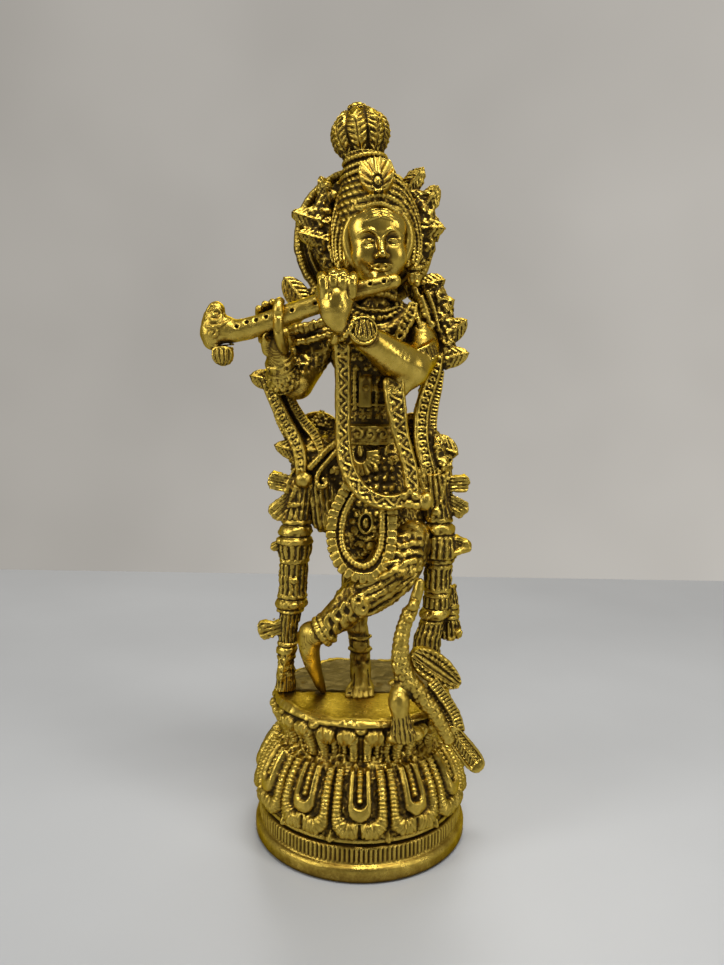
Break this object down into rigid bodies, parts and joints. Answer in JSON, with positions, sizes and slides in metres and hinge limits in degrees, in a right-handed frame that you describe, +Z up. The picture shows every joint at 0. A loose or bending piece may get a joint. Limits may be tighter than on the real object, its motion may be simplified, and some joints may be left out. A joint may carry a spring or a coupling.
{
  "type": "cast brass figurine",
  "caption": "Cast brass flute-playing figure on a round double lotus base, with halo, scarves, garlands and a peacock.",
  "frame": {"origin": "centre of the round base's flat underside, on the base's axis", "axes": "+Z up along the base's axis, the figure faces -Y, +X is on the viewer's right when facing it"},
  "size_m": [0.0847, 0.0692, 0.2305],
  "materials": {
    "cast_brass": "cast brass, polished on the high points, with dark brown patina in the recesses",
    "polished_brass": "smooth polished brass with light casting pits",
    "dark_brass": "dark brown antique brass, brighter on its rim",
    "fixing_steel": "plain steel"
  },
  "bodies": {
    "root": {"plinth": "cast_brass", "lower_lotus": "cast_brass", "upper_lotus": "cast_brass", "foot_plate": "cast_brass", "fixing_stud": "fixing_steel", "fixing_washer": "fixing_steel", "fixing_nut": "fixing_steel", "standing_leg": "cast_brass", "crossed_leg": "cast_brass", "torso": "cast_brass", "necklace": "cast_brass", "belt": "cast_brass", "dhoti": "cast_brass", "head": "polished_brass", "earring_left": "cast_brass", "earring_right": "cast_brass", "crown": "cast_brass", "crown_finial": "cast_brass", "crown_plaque": "cast_brass", "halo": "dark_brass", "crest_left": "cast_brass", "crest_right": "cast_brass", "flute": "cast_brass", "right_arm": "cast_brass", "left_arm": "polished_brass", "long_garland": "cast_brass", "waist_garland": "cast_brass", "scarf_left": "cast_brass", "scarf_right": "cast_brass", "tassel_left": "cast_brass", "tassel_right": "cast_brass", "peacock_body": "cast_brass", "peacock_wing": "cast_brass", "peacock_tail": "polished_brass"}
  },
  "joints": []
}
